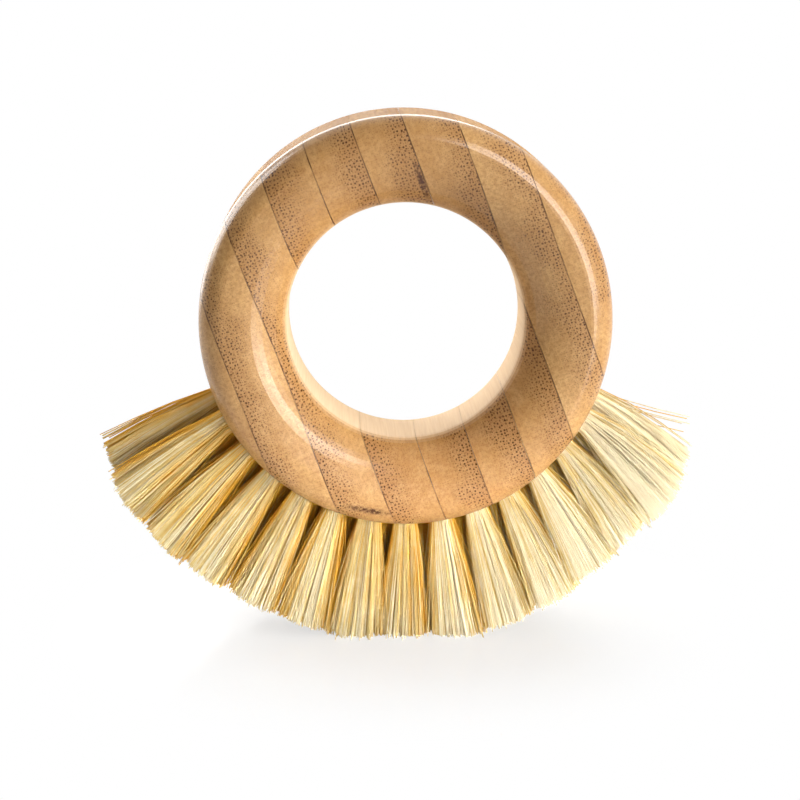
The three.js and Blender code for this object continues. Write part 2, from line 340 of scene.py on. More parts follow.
def bamboo_material(ring, finish):
    """Varnished bamboo: end grain on the faces, long grain on the rim and in the bore."""
    material, start = new_material("varnished_bamboo")
    place = start.node("ShaderNodeTexCoord", output="Object")
    turned = start.node(
        "ShaderNodeMapping",
        {"vector_type": "TEXTURE"},
        {
            "Vector": place,
            "Location": (0, 0, ring.height),
            "Rotation": (0, -ring.lean, 0),
            "Scale": (MILLIMETRE, MILLIMETRE, MILLIMETRE),
        },
    )
    across, grain, along = turned.parts()

    # Where the end grain, the bare bore and the varnish are, by how far the surface faces front or back
    facing = abs(place.other("Normal").parts()[1])
    end_grain = facing.ramp(0.1, 0.45)
    out = (across * across + along * along) ** 0.5
    middle = (ring.radius + ring.bore_radius) / 2 / MILLIMETRE
    outer = out.ramp(middle, middle + 2)
    in_bore = (1 - outer) * facing.ramp(0.55, 0.08)
    varnish = facing.ramp(0.4, 0.8)
    varnish = varnish.maths("MAXIMUM", varnish, outer * facing.ramp(0.03, 0.15))

    # Strips lie with the cane's skin away from one seam, the heart seam
    width = strip_width(ring) / MILLIMETRE
    heart = 2 * width - (ring.bore_radius + ring.left_web) / MILLIMETRE
    strips_out = (across - heart) / width
    number = strips_out.maths("FLOOR", strips_out)
    skin = strips_out.maths("FRACT", abs(strips_out))
    to_seam = skin.maths("MINIMUM", skin, 1 - skin) * width

    # Each strip's own place in the cane, which wanders a little along the grain
    wander = turned.vector("MULTIPLY", turned, WANDER_RATE).noise(1.0, 1.0, 1)
    shift = wander.vector("SUBTRACT", wander, (0.5, 0.5, 0.5)).scaled(CANE_WANDER)
    shift_x, _, shift_z = shift.parts()
    cane_x = across + number * CANE_STEP_X + shift_x
    cane_z = along + number * CANE_STEP_Z + shift_z
    cane = start.combine(cane_x, cane_z, 0.0)
    depth = start.combine(cane_x, grain * 0.05, cane_z)
    patches = depth.noise(0.12, 3.0)
    mottle = depth.noise(0.35, 4.0)
    strands = depth.noise(4.0, 3.0)
    pores = depth.noise(1.5, 5.0)
    crowd = (skin * 1.3 - 0.25 + (patches - 0.5) * 1.5).ramp(0.0, 1.0)

    def bundles(scale, radius, likely):
        """Round ends of bundles, each of them evenly dark."""
        cell = start.node(
            "ShaderNodeTexVoronoi",
            {"voronoi_dimensions": "2D", "feature": "F1"},
            {"Vector": cane, "Scale": scale, "Randomness": 0.62},
        )
        size, chance, darkness = cell.other("Color").parts()
        shown = (likely - chance * 0.2).ramp(0.0, 0.8) * (0.6 + 0.4 * darkness)
        return (cell - radius * (0.75 + 0.5 * size)).ramp(0.07, -0.04) * shown

    dots = bundles(1.45, 0.15 + 0.08 * crowd, crowd)
    specks = bundles(2.1, 0.15, 0.45 + 0.5 * crowd)

    # The ground runs from pale to deep by strip, and to rose where the bundles crowd
    tone = start.node("ShaderNodeTexWhiteNoise", {"noise_dimensions": "1D"}, {"W": number + 0.5})
    ground = (tone * 0.6 + (mottle - 0.5) * 1.5 + 0.2).blend(finish.bamboo_pale, finish.bamboo_deep)
    ground = (crowd * 0.45).blend(ground, finish.bamboo_rose)
    ground = ((pores - 0.4) * 2.2).blend(ground, finish.bamboo_rose)
    ground = (specks * 0.66 * end_grain).blend(ground, finish.bundle)
    ground = (dots * 0.92 * end_grain).blend(ground, finish.bundle)
    # Partly painted light: the bore's cream stands partly for its paler long grain and partly for light on
    # the bore wall
    fine_grain = start.combine(cane_x, grain * 0.02, cane_z).noise(3.0, 4.0)
    ground = (in_bore * (0.55 + 0.5 * fine_grain)).blend(ground, finish.bamboo_cream)

    # Glue lines are dark where the joint is open, and a few places are stained
    worn = turned.noise(0.22, 3.0)
    glue = to_seam.ramp(0.16, 0.05) * worn.ramp(0.42, 0.6, 0.42, 0.95) * (0.15 + 0.85 * end_grain)
    front = grain.ramp(-4.0, -9.0)
    for mark_x, mark_z, half_x, half_z, turn in STAINS:
        cosine = math.cos(math.radians(turn))
        sine = math.sin(math.radians(turn))
        off_x = ((across - mark_x) * cosine + (along - mark_z) * sine) / half_x
        off_z = ((along - mark_z) * cosine - (across - mark_x) * sine) / half_z
        near = (off_x * off_x + off_z * off_z).ramp(1.2, 0.0)
        glue = glue.maths("MAXIMUM", glue, near * front * pores.ramp(0.35, 0.6, 0.25, 0.95))
    surface = glue.blend(ground, finish.glue)
    height = strands * 0.3 - dots * end_grain
    bump = start.node("ShaderNodeBump", None, {"Strength": 0.2, "Distance": 0.00004, "Height": height})
    wood = {
        "Base Color": surface,
        "Roughness": 0.55 + 0.15 * dots,
        "Specular IOR Level": 0.04,
        "Coat Weight": varnish,
        "Coat Roughness": 0.22,
        "Normal": bump,
    }
    show(principled(start, wood))
    return material


def fibre_material(finish):
    """Dry plant fibre, from pale straw to gold."""
    material, start = new_material("plant_fibre")
    tone = start.node("ShaderNodeAttribute", {"attribute_name": "tone"}, None, "Fac")
    place = start.node("ShaderNodeTexCoord", output="Object")
    streak = place.noise(300.0)
    # The tone holds painted shade and painted light as well as each fibre's random tone; the streak noise
    # is the fibres' own
    shade = tone + (streak - 0.5) * 0.6
    pale = shade.ramp(-0.1, 0.5).blend(finish.fibre_cream, finish.fibre_straw)
    straw = shade.ramp(0.45, 1.1).blend(pale, finish.fibre_gold)
    straw = shade.ramp(1.1, 2.0).blend(straw, finish.fibre_root)
    fibre = {"Base Color": straw, "Roughness": 0.5 + 0.2 * streak, "Specular IOR Level": 0.08}
    show(principled(start, fibre))
    return material


def steel_material(finish):
    """Drawn steel strip."""
    material, start = new_material("anchor_steel")
    place = start.node("ShaderNodeTexCoord", output="Object")
    drawn = place.vector("MULTIPLY", place, (1.0, 0.05, 1.0)).noise(9000.0)
    bump = start.node("ShaderNodeBump", None, {"Strength": 0.15, "Distance": 0.00002, "Height": drawn})
    steel = {
        "Base Color": (drawn * 0.4).blend(finish.steel, finish.steel_shade),
        "Metallic": 1.0,
        "Roughness": 0.28 + 0.2 * drawn,
        "Normal": bump,
    }
    show(principled(start, steel))
    return material


def floor_material(stage):
    """White glossy board, which keeps a faint shadow and reflection near the brush."""
    material, start = new_material("white_board")
    place = start.node("ShaderNodeTexCoord", output="Object")

    # Away from the brush the board is plain white to the camera, and throws less light back
    distance = place.vector("LENGTH", place, output="Value")
    away = distance.ramp(0.03, 0.072, 0.64, 1.0)
    behind = place.parts()[1].ramp(0.0, 0.1)
    rays = start.node("ShaderNodeLightPath")
    bounce = rays.other("Is Diffuse Ray") * distance.ramp(0.05, 0.16)
    paint = bounce.blend(stage.floor, stage.far_floor)
    lit = principled(start, {"Base Color": paint, "Roughness": 0.2})
    seen = rays + rays.other("Is Transmission Ray") + rays.other("Is Glossy Ray") * behind
    white = start.node("ShaderNodeEmission", None, {"Color": (1, 1, 1, 1), "Strength": 1.0})
    show(start.node("ShaderNodeMixShader", None, {0: seen * away, 1: lit, 2: white}))
    return material


def new_tree(name, sizes, counts):
    """Geometry Nodes tree with inputs for sizes, counts and a material: their wires by name."""
    tree = bpy.data.node_groups.new(name, "GeometryNodeTree")
    inputs = {"Geometry": "Geometry", **dict.fromkeys(sizes, "Float"), **dict.fromkeys(counts, "Int")}
    for label, kind in {**inputs, "Material": "Material"}.items():
        tree.interface.new_socket(label, in_out="INPUT", socket_type="NodeSocket" + kind)
    tree.interface.new_socket("Geometry", in_out="OUTPUT", socket_type="NodeSocketGeometry")
    source = tree.nodes.new("NodeGroupInput")
    return {socket.name: Wire(tree, socket) for socket in source.outputs if socket.name}


def close_tree(geometry, material):
    """Ends a tree in plain geometry with its material."""
    real = geometry.node("GeometryNodeRealizeInstances", None, {"Geometry": geometry})
    painted = real.node("GeometryNodeSetMaterial", None, {"Geometry": real, "Material": material})
    painted.node("NodeGroupOutput", None, {0: painted})
    return painted.tree


def named_value(start, name, data_type="FLOAT"):
    """Values of a named attribute."""
    return start.node("GeometryNodeInputNamedAttribute", {"data_type": data_type}, {"Name": name})


def store(geometry, name, value, data_type="FLOAT"):
    """Geometry with a value for each point kept under a name."""
    settings = {"data_type": data_type, "domain": "POINT"}
    sockets = {"Geometry": geometry, "Name": name, "Value": value}
    return geometry.node("GeometryNodeStoreNamedAttribute", settings, sockets)


def moved(geometry, **place):
    """Geometry with a translation or a rotation."""
    sockets = {label.capitalize(): value for label, value in place.items()}
    return geometry.node("GeometryNodeTransform", None, {"Geometry": geometry, **sockets})


def size_values(settings, labels):
    """Values of a group of settings, by the names that a tree's inputs give them."""
    return {label: getattr(settings, label.lower().replace(" ", "_")) for label in labels}


def run_tree(name, points, tree, values):
    """Runs a tree on a mesh and gives the result as a plain mesh object."""
    piece = bpy.data.objects.new(name, points)
    bpy.context.scene.collection.objects.link(piece)
    modifier = piece.modifiers.new(tree.name, "NODES")
    modifier.node_group = tree
    for item in tree.interface.items_tree:
        if item.in_out == "INPUT" and item.name in values:
            modifier[item.identifier] = values[item.name]
    depsgraph = bpy.context.evaluated_depsgraph_get()
    mesh = bpy.data.meshes.new_from_object(
        piece.evaluated_get(depsgraph), preserve_all_data_layers=True, depsgraph=depsgraph
    )
    piece.modifiers.clear()
    piece.data = mesh
    mesh.name = name
    if not mesh.polygons:
        raise RuntimeError(f"{name} came out empty")
    return piece


def tuft_rows(bristles):
    """Every tuft: its row, its steps from the lowest point, and its angles and places at rim and tip."""
    tufts = []
    for row in (-1, 0, 1):
        count = bristles.outer_row_tufts + (row == 0)
        for index in range(count):
            steps = index - (count - 1) / 2
            tip_angle = DOWN + steps * bristles.tip_step
            tip_angle -= bristles.right_lean * max(steps, 0) ** 2
            tufts.append(
                {
                    "row": row,
                    "steps": steps,
                    "angle": DOWN + steps * bristles.tuft_step,
                    "tip_angle": tip_angle,
                    "rim_y": row * bristles.row_spacing,
                    "tip_y": row * bristles.tip_row_spacing,
                }
            )
    return tufts


def tuft_points(name, ring, tufts, values):
    """Mesh with a point at each tuft's hole, which carries the tuft's values."""
    mesh = bpy.data.meshes.new(name)
    corners = [
        (
            ring.radius * math.cos(tuft["angle"]),
            tuft["rim_y"],
            ring.height + ring.radius * math.sin(tuft["angle"]),
        )
        for tuft in tufts
    ]
    mesh.from_pydata(corners, [], [])
    for value, kind in values.items():
        layer = mesh.attributes.new(value, kind, "POINT")
        layer.data.foreach_set("value", [tuft[value] for tuft in tufts])
    return mesh


# Names that the strips' tree gives to the settings it takes
RING_SIZES = (
    "Radius", "Bore Radius", "Thickness", "Height", "Outer Round", "Outer Drop", "Inner Round",
    "Inner Drop", "Lean",
)
HOLE_SIZES = ("Hole Radius", "Hole Depth")

# Steps round the ring and round its section, and sides of the drill
RING_STEPS = 240
PROFILE_STEPS = 56
DRILL_SIDES = 24

# Radius of the round blank's path, before the blank is shaped; its section's radius is 1
BLANK_RADIUS = 2.0


def strip_tree():
    """Tree that turns the ring, drills the tuft holes and cuts one strip out."""
    sizes = (*RING_SIZES, *HOLE_SIZES, "Left Seam", "Right Seam", "Half")
    wires = new_tree("bamboo_strip", sizes, ("Ring Steps", "Profile Steps"))
    tufts = wires["Geometry"]
    centre = tufts.combine(0.0, 0.0, wires["Height"])
    span = 2 * (wires["Radius"] + wires["Thickness"])

    # A round blank, which is then shaped to the ring's section
    path = tufts.node(
        "GeometryNodeCurvePrimitiveCircle",
        None,
        {"Resolution": wires["Ring Steps"], "Radius": BLANK_RADIUS},
    )
    section = tufts.node(
        "GeometryNodeCurvePrimitiveCircle", None, {"Resolution": wires["Profile Steps"], "Radius": 1.0}
    )
    half_step = tufts.node(
        "FunctionNodeAxisAngleToRotation",
        None,
        {"Axis": (0, 0, 1), "Angle": math.pi / wires["Profile Steps"]},
    )
    section = moved(section, rotation=half_step)
    blank = tufts.node("GeometryNodeCurveToMesh", None, {"Curve": path, "Profile Curve": section})
    x, y, z = tufts.node("GeometryNodeInputPosition").parts()
    out = (x * x + y * y) ** 0.5
    reach = out - BLANK_RADIUS
    outer = reach.maths("GREATER_THAN", reach, 0.0)
    far = wires["Radius"] - wires["Outer Round"] * (1 - reach)
    near = wires["Bore Radius"] + wires["Inner Round"] * (1 + reach)
    radius = near + outer * (far - near)
    drop = wires["Inner Drop"] + outer * (wires["Outer Drop"] - wires["Inner Drop"])
    depth = z.maths("SIGN", z) * (wires["Thickness"] / 2 - drop) + drop * z
    turned = tufts.combine(x / out * radius, depth, y / out * radius + wires["Height"])
    blank = tufts.node("GeometryNodeSetPosition", None, {"Geometry": blank, "Position": turned})

    # A hole for each tuft, drilled toward the ring's centre
    spare = wires["Hole Depth"] / 2
    drill = tufts.node(
        "GeometryNodeMeshCylinder",
        None,
        {
            "Vertices": DRILL_SIDES,
            "Radius": wires["Hole Radius"],
            "Depth": wires["Hole Depth"] + spare,
        },
    )
    drill = moved(drill, translation=tufts.combine(0.0, 0.0, (spare - wires["Hole Depth"]) / 2))
    mouth = tufts.node("GeometryNodeInputPosition")
    outward = mouth.vector("SUBTRACT", mouth, centre)
    outward = outward.vector("MULTIPLY", outward, (1, 0, 1))
    aim = tufts.node("FunctionNodeAlignRotationToVector", {"axis": "Z"}, {"Vector": outward})
    points = tufts.node("GeometryNodeMeshToPoints", None, {"Mesh": tufts})
    drills = tufts.node(
        "GeometryNodeInstanceOnPoints", None, {"Points": points, "Instance": drill, "Rotation": aim}
    )
    drills = tufts.node("GeometryNodeRealizeInstances", None, {"Geometry": drills})
    drilled = tufts.node(
        "GeometryNodeMeshBoolean", {"operation": "DIFFERENCE", "solver": "MANIFOLD"}, {0: blank, 1: drills}
    )

    # The strip between two seams, or its upper or lower half
    left = wires["Left Seam"]
    right = wires["Right Seam"]
    slab = tufts.node("GeometryNodeMeshCube", None, {"Size": tufts.combine(right - left, span, span)})
    slab = moved(slab, translation=tufts.combine((left + right) / 2, 0.0, wires["Half"] * span / 2))
    lean = tufts.node("FunctionNodeAxisAngleToRotation", None, {"Axis": (0, -1, 0), "Angle": wires["Lean"]})
    slab = moved(slab, translation=centre, rotation=lean)
    strip = tufts.node(
        "GeometryNodeMeshBoolean", {"operation": "INTERSECT", "solver": "MANIFOLD"}, {1: drilled}
    )
    strip.plug(slab, strip.socket.node.inputs[1])
    return close_tree(strip, wires["Material"])


def ring_normals(points, ring):
    """Outward directions of the ring's rounded surface at points on it."""
    x = points[:, 0]
    z = points[:, 2] - ring.height
    out = np.hypot(x, z)
    depth = np.abs(points[:, 1])
    outer = out > (ring.radius - ring.outer_round + ring.bore_radius + ring.inner_round) / 2
    wide = np.where(outer, ring.outer_round, ring.inner_round)
    drop = np.where(outer, ring.outer_drop, ring.inner_drop)
    start = np.where(outer, ring.radius - wide, ring.bore_radius + wide)
    over_edge = np.where(outer, np.maximum(out - start, 0), np.minimum(out - start, 0))
    into_side = np.maximum(depth - (ring.thickness / 2 - drop), 0)
    radial = over_edge / wide**2
    axial = into_side / drop**2 * np.sign(points[:, 1])
    normals = np.stack([radial * x / out, axial, radial * z / out], axis=1)
    return normals / np.maximum(np.linalg.norm(normals, axis=1, keepdims=True), TINY)


# Cosine above which a face lies on the ring's outside
OUTSIDE_MATCH = 0.9


def smooth_ring_faces(mesh, ring):
    """Shades a strip's outside as the true round, and leaves its seam and hole faces flat."""
    for polygon in mesh.polygons:
        polygon.use_smooth = True
    points = np.empty(len(mesh.vertices) * 3)
    mesh.vertices.foreach_get("co", points)
    corners = np.empty(len(mesh.loops), int)
    mesh.loops.foreach_get("vertex_index", corners)
    flat = np.empty(len(mesh.polygons) * 3)
    mesh.polygons.foreach_get("normal", flat)
    sizes = np.empty(len(mesh.polygons), int)
    mesh.polygons.foreach_get("loop_total", sizes)
    flat = np.repeat(flat.reshape(-1, 3), sizes, axis=0)
    true = ring_normals(points.reshape(-1, 3), ring)[corners]
    outside = np.sum(flat * true, axis=1) > OUTSIDE_MATCH
    mesh.normals_split_custom_set(np.where(outside[:, None], true, flat).tolist())


class BRUSH_OT_bamboo_strips(bpy.types.Operator):
    """Makes the bamboo strips of the ring, with the tuft holes in them"""

    bl_idname = "brush.bamboo_strips"
    bl_label = "Bamboo strips"

    def execute(self, context):
        ring = context.scene.brush_ring
        bristles = context.scene.brush_bristles
        points = tuft_points("tuft_holes", ring, tuft_rows(bristles), {})
        material = bamboo_material(ring, context.scene.brush_finish)
        tree = strip_tree()
        width = strip_width(ring)
        first = -ring.bore_radius - ring.left_web
        span = 2 * (ring.radius + ring.thickness)
        seams = [first + step * width for step in range(-1, ring.bore_strips + 2)]
        edges = [-span / 2, *seams, span / 2]
        common = {
            **size_values(ring, RING_SIZES),
            **size_values(bristles, HOLE_SIZES),
            "Ring Steps": RING_STEPS,
            "Profile Steps": PROFILE_STEPS,
            "Material": material,
        }
        for index, (left, right) in enumerate(zip(edges, edges[1:])):
            left += ring.glue_gap / 2
            right -= ring.glue_gap / 2
            crosses_bore = max(abs(left), abs(right)) < ring.bore_radius
            halves = {"_upper": 1.0, "_lower": -1.0} if crosses_bore else {"": 0.0}
            for suffix, half in halves.items():
                name = f"bamboo_strip_{index + 1}{suffix}"
                seats = {"Left Seam": left, "Right Seam": right, "Half": half}
                strip = run_tree(f"bamboo_{index + 1}{suffix}", points, tree, {**common, **seats})
                smooth_ring_faces(strip.data, ring)
                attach(strip, BODY)
                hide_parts(name)
        return {"FINISHED"}


# Names that the tufts' tree gives to the settings it takes
FIBRE_SIZES = ("Fibre Radius", "Tip Across", "Tip Along", "Clumping", "Bend", "Ragged")

# Weight of the way along the row in a bundle's outward directions, against that across the rows
BUNDLE_ACROSS = 0.45

# Lengths that a fibre is made of: the first runs in the hole, the rest outside
FIBRE_SEGMENTS = 4

# Share of the fibres that don't stray, how far every tip is loose, and a stray one more, in metres
STEADY_SHARE = 0.88
TIP_LOOSE = 0.00012
STRAY_LOOSE = 0.0007

# Diameter of the circle that the tips are trimmed to, in metres
TRIM_CIRCLE = 0.125

# Fibres in a tuft whose middle ones are drawn about twice as thick at the tips, and all fibres' taper
STOUT_COUNT = 600
TAPER = 0.1

# How far two tufts lie apart in the noise, for each radian and each metre between their tips
NOISE_PER_ANGLE = 40.0
NOISE_PER_ROW = 900.0


def tuft_tree():
    """Tree that fills each tuft with fibres, which fan out from its hole to the trimmed tips."""
    sizes = ("Radius", "Height", *FIBRE_SIZES, "Hole Depth", "Hole Reach", "Anchor Room")
    wires = new_tree("fibre_tufts", sizes, ("Seed",))
    start = wires["Geometry"]

    def draw(number, low=0.0, high=1.0):
        """Random value for each fibre, by the number of its draw."""
        sockets = {2: low, 3: high, "Seed": wires["Seed"] + number}
        return start.node("FunctionNodeRandomValue", {"data_type": "FLOAT"}, sockets, 1)

    # Fibres spread evenly over the hole, one point each
    points = start.node("GeometryNodeMeshToPoints", None, {"Mesh": start})
    fibres = named_value(start, "fibres", "INT")
    many = start.node(
        "GeometryNodeDuplicateElements", {"domain": "POINT"}, {"Geometry": points, "Amount": fibres}
    )
    order = many.other(1)
    golden_angle = math.pi * (3 - math.sqrt(5))
    share = ((order + 0.5) / fibres) ** 0.5
    turn = order * golden_angle + draw(1, -0.5, 0.5)
    u = share * turn.maths("COSINE", turn)
    v = share * turn.maths("SINE", turn)

    # Neighbours lean together, a few stray, and the tips are trimmed to a round
    tuft = named_value(start, "tip_angle") * NOISE_PER_ANGLE + named_value(start, "tip_y") * NOISE_PER_ROW
    lean = start.combine(u * 1.6, v * 1.6, tuft).noise(1.6, output=1)
    lean_u, lean_v, _ = lean.parts()
    stray = start.maths("GREATER_THAN", draw(2), STEADY_SHARE)
    spread = named_value(start, "spread") * (1 + 0.3 * stray)
    loose = TIP_LOOSE + STRAY_LOOSE * stray
    clump_u = (lean_u - 0.5) * wires["Clumping"]
    clump_v = (lean_v - 0.5) * wires["Clumping"]
    tip_u = u * wires["Tip Across"] * spread + clump_u + draw(3, -1.0, 1.0) * loose
    tip_v = v * wires["Tip Along"] * spread + clump_v + draw(4, -1.0, 1.0) * loose
    uneven = draw(5) * draw(6) * wires["Ragged"]
    reach = named_value(start, "reach") - uneven - tip_u * tip_u / TRIM_CIRCLE
    root = start.combine(u * wires["Hole Reach"], v * wires["Hole Reach"], 0.0)
    tip = start.combine(tip_u, tip_v, reach)
    bow = start.combine(draw(7, -1.0, 1.0) * wires["Bend"], draw(8, -1.0, 1.0) * wires["Bend"], 0.0)
    many = store(many, "fibre_root", root, "FLOAT_VECTOR")
    many = store(many, "fibre_tip", tip, "FLOAT_VECTOR")
    many = store(many, "fibre_bow", bow, "FLOAT_VECTOR")
    many = store(many, "stout", (1 - share) * fibres / STOUT_COUNT)

    # Tones run from 0 for cream to 1 for gold, at random for each fibre; painted shade makes the middle of
    # a tuft and the fibres that clumping pushes in toward it the most golden
    own_tone = draw(9) * 0.7 - 0.15
    many = store(many, "tone", own_tone + (0.5 - lean_v) * v * 1.4 + (1 - abs(v)) * 0.95)
    many = start.node("GeometryNodeSetPosition", None, {"Geometry": many, "Position": (0, 0, 0)})

    # One thin three-sided fibre, a unit long, for every point
    stalk = start.node(
        "GeometryNodeMeshCylinder",
        None,
        {"Vertices": 3, "Side Segments": FIBRE_SEGMENTS, "Radius": 1.0, "Depth": 1.0},
    )
    stalk = start.node(
        "GeometryNodeSetShadeSmooth", None, {"Geometry": stalk, "Selection": stalk.other("Side")}
    )
    stalk = moved(stalk, translation=(0, 0, 0.5))
    stalks = start.node("GeometryNodeInstanceOnPoints", None, {"Points": many, "Instance": stalk})
    stalks = start.node("GeometryNodeRealizeInstances", None, {"Geometry": stalks})

    # Each fibre runs up its hole beside the anchor, then fans out to its tip
    x, y, z = start.node("GeometryNodeInputPosition").parts()
    climb = z * FIBRE_SEGMENTS
    in_hole = start.maths("MINIMUM", climb, 1.0)
    fan = start.maths("MAXIMUM", (climb - 1) / (FIBRE_SEGMENTS - 1), 0.0)
    root_u, root_v, _ = named_value(start, "fibre_root", "FLOAT_VECTOR").parts()
    tip_u, tip_v, reach = named_value(start, "fibre_tip", "FLOAT_VECTOR").parts()
    bow_u, bow_v, _ = named_value(start, "fibre_bow", "FLOAT_VECTOR").parts()
    beside = root_u.maths("SIGN", root_u) * wires["Anchor Room"] * (1 - in_hole)
    opened = fan ** 0.8
    bulge = fan * (1 - fan) * 4
    across = root_u + beside + (tip_u - root_u) * opened + bow_u * bulge
    aside = root_v + (tip_v - root_v) * opened + bow_v * bulge
    rim_angle = named_value(start, "angle")
    angle = rim_angle + (named_value(start, "tip_angle") - rim_angle) * fan
    rim_y = named_value(start, "rim_y")
    depth = rim_y + (named_value(start, "tip_y") - rim_y) * fan + aside
    bottom = wires["Radius"] - wires["Hole Depth"]
    out = bottom + wires["Hole Depth"] * in_hole + (reach - wires["Radius"]) * fan
    thick = wires["Fibre Radius"] * (1 + (named_value(start, "stout") - TAPER) * fan)
    across = across - x * thick
    cosine = angle.maths("COSINE", angle)
    sine = angle.maths("SINE", angle)
    place_x = cosine * out - sine * across
    place_z = sine * out + cosine * across + wires["Height"]
    place = start.combine(place_x, depth + y * thick, place_z.maths("MAXIMUM", place_z, 0.0))

    # Painted shade: the fibres are painted more golden deep between the tufts near the rim, where shade
    # falls, and paler at the tips; the tuft's tint, which carries painted light, is added too
    deep = named_value(start, "deep") * (1 - fan) ** 2
    tone = named_value(start, "tone") + named_value(start, "tint") + deep - 0.2 * fan ** 3
    stalks = store(stalks, "tone", tone)
    outward = start.combine(-BUNDLE_ACROSS * sine * across, aside, BUNDLE_ACROSS * cosine * across)
    stalks = store(stalks, "outward", outward, "FLOAT_VECTOR")
    stalks = start.node("GeometryNodeSetPosition", None, {"Geometry": stalks, "Position": place})
    return close_tree(stalks, wires["Material"])


# How fast the bundle's shading sets in on a fibre's outer side, and the shares of the two there
BUNDLE_EDGE = 3
BUNDLE_SHARE = 1.4
OWN_LOSS = 0.2


def shade_as_bundles(mesh):
    """Shades the fibres partly as one round bundle for each tuft, which keeps the tufts silky."""
    own = np.empty(len(mesh.vertices) * 3)
    mesh.vertices.foreach_get("normal", own)
    outward = np.empty(len(mesh.vertices) * 3)
    mesh.attributes["outward"].data.foreach_get("vector", outward)
    own = own.reshape(-1, 3)
    outward = outward.reshape(-1, 3)
    outward /= np.maximum(np.linalg.norm(outward, axis=1, keepdims=True), TINY)
    facing = np.clip(BUNDLE_EDGE * np.sum(own * outward, axis=1, keepdims=True), 0, 1)
    shared = (1 - OWN_LOSS * facing) * own + BUNDLE_SHARE * facing * outward
    shared /= np.maximum(np.linalg.norm(shared, axis=1, keepdims=True), TINY)
    mesh.normals_split_custom_set_from_vertices(shared.tolist())


# How much longer or shorter the fibres are trimmed, by steps from the lowest tuft
TRIM = (
    (-7, 0.0013),
    (-5, 0.0011),
    (-2.3, -0.0008),
    (-1, 0.001),
    (1, 0.0014),
    (2, 0.0004),
    (4, -0.0016),
    (5.3, -0.0026),
    (6.5, 0.0002),
)

# Room under the fibres in a hole, and beside its anchor, in metres
HOLE_ROOM = 0.0006
ANCHOR_ROOM = 0.0004

# How far a tuft's tip angle, in degrees, its reach, in metres, its spread and its tint vary
ANGLE_RANGE = 0.7
REACH_RANGE = 0.0004
SPREAD_RANGE = 0.1
TINT_RANGE = 0.08

# A tuft behind the gap between two others spreads wider, and its fibres are painted golden near the rim as
# painted shade, for the shade between the tufts; other tufts get a little of it
GAP_SPREAD = 1.2
GAP_PAINTED_SHADE = 1.1
OPEN_PAINTED_SHADE = 0.1

# Tint of the lowest tuft, and how much paler than the one to its left a tuft on either side of it is:
# painted light, with tufts on the right painted paler as if lit more and tufts on the left more golden as
# if in shade
LOWEST_TINT = 0.05
PALER_RIGHT = 0.1
PALER_LEFT = 0.02

# A few loose fibres above the last tuft on the right
WISP = {"tip_angle": math.radians(-21.7), "reach": 0.0601, "spread": 0.4, "fibres": 5, "tint": 0.0}

# Groups of tufts from left to right, and the steps from the lowest tuft that part them
GROUPS = ("left_end", "left_foot", "right_foot", "right_end")
GROUP_CUTS = (-3, 0, 3)


class BRUSH_OT_bristles(bpy.types.Operator):
    """Makes the tufts of plant fibre, in the four groups that the ring's rim holds"""

    bl_idname = "brush.bristles"
    bl_label = "Bristles"

    def execute(self, context):
        ring = context.scene.brush_ring
        bristles = context.scene.brush_bristles
        material = fibre_material(context.scene.brush_finish)
        tree = tuft_tree()
        values = {
            **size_values(ring, ("Radius", "Height")),
            **size_values(bristles, FIBRE_SIZES),
            "Hole Depth": bristles.hole_depth - HOLE_ROOM,
            "Hole Reach": bristles.hole_radius - 2 * bristles.fibre_radius,
            "Anchor Room": ANCHOR_ROOM,
            "Seed": bristles.seed,
            "Material": material,
        }
        measures = ("angle", "tip_angle", "rim_y", "tip_y", "reach", "spread", "deep", "tint")
        kinds = {**dict.fromkeys(measures, "FLOAT"), "fibres": "INT"}
        tufts = tuft_rows(bristles)
        draws = random.Random(bristles.seed)
        for tuft in tufts:
            steps = tuft["steps"]
            extra = float(np.interp(steps, *zip(*TRIM)))
            in_gap = tuft["row"] == 0 and abs(steps) < bristles.outer_row_tufts / 2 - 0.5
            tuft["tip_angle"] += math.radians(draws.uniform(-ANGLE_RANGE, ANGLE_RANGE))
            reach = ring.radius + bristles.length + extra
            tuft["reach"] = reach + draws.uniform(-REACH_RANGE, REACH_RANGE)
            tuft["spread"] = draws.uniform(1 - SPREAD_RANGE, 1 + SPREAD_RANGE)
            tuft["spread"] *= GAP_SPREAD if in_gap else 1.0
            # Painted shade near the rim, strongest for the tufts behind the gaps
            tuft["deep"] = GAP_PAINTED_SHADE if in_gap else OPEN_PAINTED_SHADE
            # The tint is painted light by the tuft's side, plus a random tone of the tuft's own
            paler = PALER_RIGHT if steps > 0 else PALER_LEFT
            tuft["tint"] = LOWEST_TINT - paler * steps + draws.uniform(-TINT_RANGE, TINT_RANGE)
            tuft["fibres"] = bristles.fibres
        last = max(tufts, key=lambda tuft: tuft["steps"])
        tufts.append({**last, **WISP})
        for group, name in enumerate(GROUPS):
            members = [
                tuft for tuft in tufts
                if sum(tuft["steps"] > cut + tuft["row"] / 2 for cut in GROUP_CUTS) == group
            ]
            points = tuft_points(f"{name}_holes", ring, members, kinds)
            piece = run_tree(f"fibres_{name}", points, tree, values)
            shade_as_bundles(piece.data)
            for layer in [*kinds, "fibre_root", "fibre_tip", "fibre_bow", "stout", "outward"]:
                if layer in piece.data.attributes:
                    piece.data.attributes.remove(piece.data.attributes[layer])
            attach(piece, BODY)
            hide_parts(f"bristles_{name}")
        return {"FINISHED"}


class BRUSH_OT_anchors(bpy.types.Operator):
    """Gives the steel anchors in the tuft holes their finish"""

    bl_idname = "brush.anchors"
    bl_label = "Anchors"

    def execute(self, context):
        material = steel_material(context.scene.brush_finish)
        anchors = [node for name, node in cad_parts.items() if name.startswith("staple_")]
        if not anchors:
            raise RuntimeError("the frame holds no anchors")
        for anchor in anchors:
            anchor.data.materials.clear()
            anchor.data.materials.append(material)
        return {"FINISHED"}


